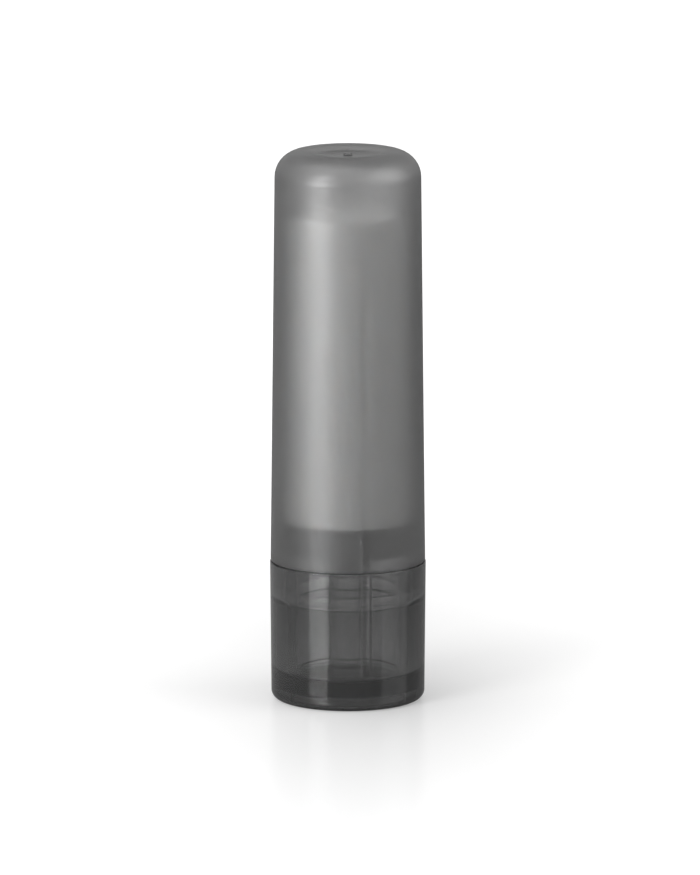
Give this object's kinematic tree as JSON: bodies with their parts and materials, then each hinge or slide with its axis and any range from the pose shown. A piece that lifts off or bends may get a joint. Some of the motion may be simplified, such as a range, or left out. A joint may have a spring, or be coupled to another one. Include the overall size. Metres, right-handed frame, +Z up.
{
  "type": "lip balm stick",
  "caption": "Slim twist-up lip balm stick: frosted pull-off cap, clear barrel with a snap-in twist base whose screw lifts the balm.",
  "frame": {"origin": "centre of the twist base's foot, on the surface that the stick stands on", "axes": "+Z up along the stick's axis towards the cap's top; -Y is the side that faces the picture's camera"},
  "size_m": [0.0194, 0.0194, 0.069],
  "materials": {
    "frosted_plastic": "satin, frosted, lets light through",
    "clear_plastic": "gloss, see-through, nearly colourless",
    "smoked_plastic": "gloss, see-through, smoke grey",
    "grey_plastic": "satin",
    "balm_wax": "waxy, smooth"
  },
  "bodies": {
    "barrel": {"barrel": "clear_plastic"},
    "twist_base": {"twist_base": "smoked_plastic"},
    "balm_carrier": {"elevator": "grey_plastic", "balm": "balm_wax"},
    "cap": {"cap": "frosted_plastic"}
  },
  "joints": [
    {"name": "base_turn", "type": "hinge", "parent": "barrel", "child": "twist_base", "pos_m": [0, 0, 0], "axis": [0, 0, 1], "range_deg": [0, 3060]},
    {"name": "balm_lift", "type": "slide", "parent": "barrel", "child": "balm_carrier", "axis": [0, 0, 1], "range_m": [0, 0.034]},
    {"name": "cap_pull", "type": "slide", "parent": "balm_carrier", "child": "cap", "axis": [0, 0, 1], "range_m": [0, 0.052]}
  ],
  "couplings": [
    {"joint": "balm_lift", "follows": "base_turn", "m_per_rad": 0.00063662}
  ]
}
